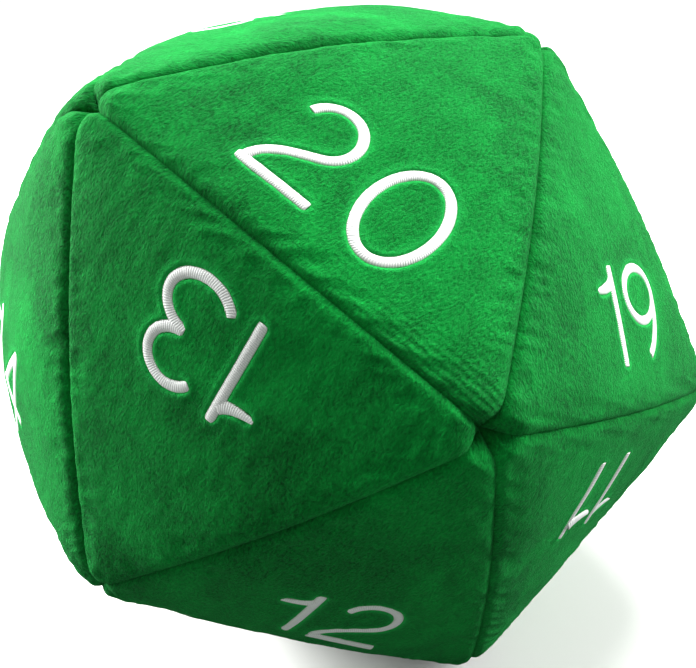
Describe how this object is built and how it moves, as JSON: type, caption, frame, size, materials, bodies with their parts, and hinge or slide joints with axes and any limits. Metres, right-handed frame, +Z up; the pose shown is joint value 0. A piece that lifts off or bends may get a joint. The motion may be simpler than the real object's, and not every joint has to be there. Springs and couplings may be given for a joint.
{
  "type": "plush twenty-sided die",
  "caption": "Large stuffed icosahedral die sewn from triangular plush panels, with an embroidered number on each face; it rests flat on one panel.",
  "frame": {"origin": "middle of the bounding box's base, on the plane the die rests on", "axes": "+Z up, out of the top panel (16); the corner shared by panels 16 to 20 lies 13 degrees from +X towards -Y, so -Y faces the panels numbered 20, 13 and 11"},
  "size_m": [0.243, 0.2402, 0.2268],
  "materials": {
    "green_plush": "short pile",
    "white_embroidery": "satin stitch",
    "stabiliser": "non-woven",
    "green_thread": "spun thread",
    "fibre": "loose fibre"
  },
  "bodies": {
    "root": {"panel_01": "green_plush", "panel_02": "green_plush", "panel_03": "green_plush", "panel_04": "green_plush", "panel_05": "green_plush", "panel_06": "green_plush", "panel_07": "green_plush", "panel_08": "green_plush", "panel_09": "green_plush", "panel_10": "green_plush", "panel_11": "green_plush", "panel_12": "green_plush", "panel_13": "green_plush", "panel_14": "green_plush", "panel_15": "green_plush", "panel_16": "green_plush", "panel_17": "green_plush", "panel_18": "green_plush", "panel_19": "green_plush", "panel_20": "green_plush", "numeral_01": "white_embroidery", "numeral_02": "white_embroidery", "numeral_03": "white_embroidery", "numeral_04": "white_embroidery", "numeral_05": "white_embroidery", "numeral_06": "white_embroidery", "numeral_07": "white_embroidery", "numeral_08": "white_embroidery", "numeral_09": "white_embroidery", "numeral_10": "white_embroidery", "numeral_11": "white_embroidery", "numeral_12": "white_embroidery", "numeral_13": "white_embroidery", "numeral_14": "white_embroidery", "numeral_15": "white_embroidery", "numeral_16": "white_embroidery", "numeral_17": "white_embroidery", "numeral_18": "white_embroidery", "numeral_19": "white_embroidery", "numeral_20": "white_embroidery", "embroidery_backings": "stabiliser", "seam_thread_top_cap": "green_thread", "seam_thread_top_ring": "green_thread", "seam_thread_band": "green_thread", "seam_thread_bottom_ring": "green_thread", "seam_thread_bottom_cap": "green_thread", "closing_stitch": "green_thread", "fibre_filling": "fibre"}
  },
  "joints": []
}
